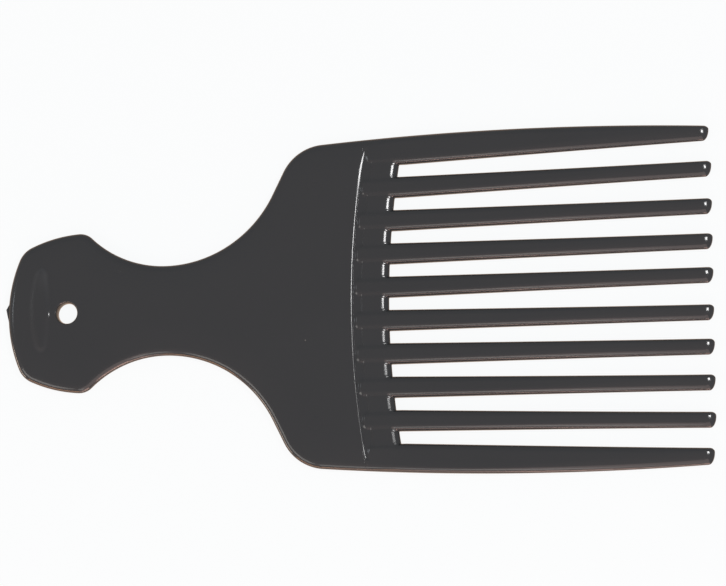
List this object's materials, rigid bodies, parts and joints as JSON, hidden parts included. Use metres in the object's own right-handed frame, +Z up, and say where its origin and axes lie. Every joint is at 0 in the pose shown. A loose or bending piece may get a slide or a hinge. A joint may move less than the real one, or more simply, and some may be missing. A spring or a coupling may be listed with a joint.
{
  "type": "afro pick",
  "caption": "Flat wide-tooth hair pick in black plastic: a bulb grip with a hang hole, a narrow neck, wide shoulders and a row of long round-tipped teeth.",
  "frame": {"origin": "centre of the bounding box at its base, the plane the pick lies on", "axes": "+X from the grip to the tooth tips, +Y across the teeth, +Z up through the thickness, out of the face with the thumb pad"},
  "size_m": [0.174, 0.0834, 0.0036],
  "materials": {
    "black_plastic": "polished injection-moulded plastic with fine handling scratches"
  },
  "bodies": {
    "root": {"grip_end": "black_plastic", "thumb_pad": "black_plastic", "gate_vestige": "black_plastic", "neck": "black_plastic", "shoulder_plate": "black_plastic", "tooth_bar": "black_plastic", "tooth_01": "black_plastic", "tooth_02": "black_plastic", "tooth_03": "black_plastic", "tooth_04": "black_plastic", "tooth_05": "black_plastic", "tooth_06": "black_plastic", "tooth_07": "black_plastic", "tooth_08": "black_plastic", "tooth_09": "black_plastic", "tooth_10": "black_plastic"}
  },
  "joints": []
}
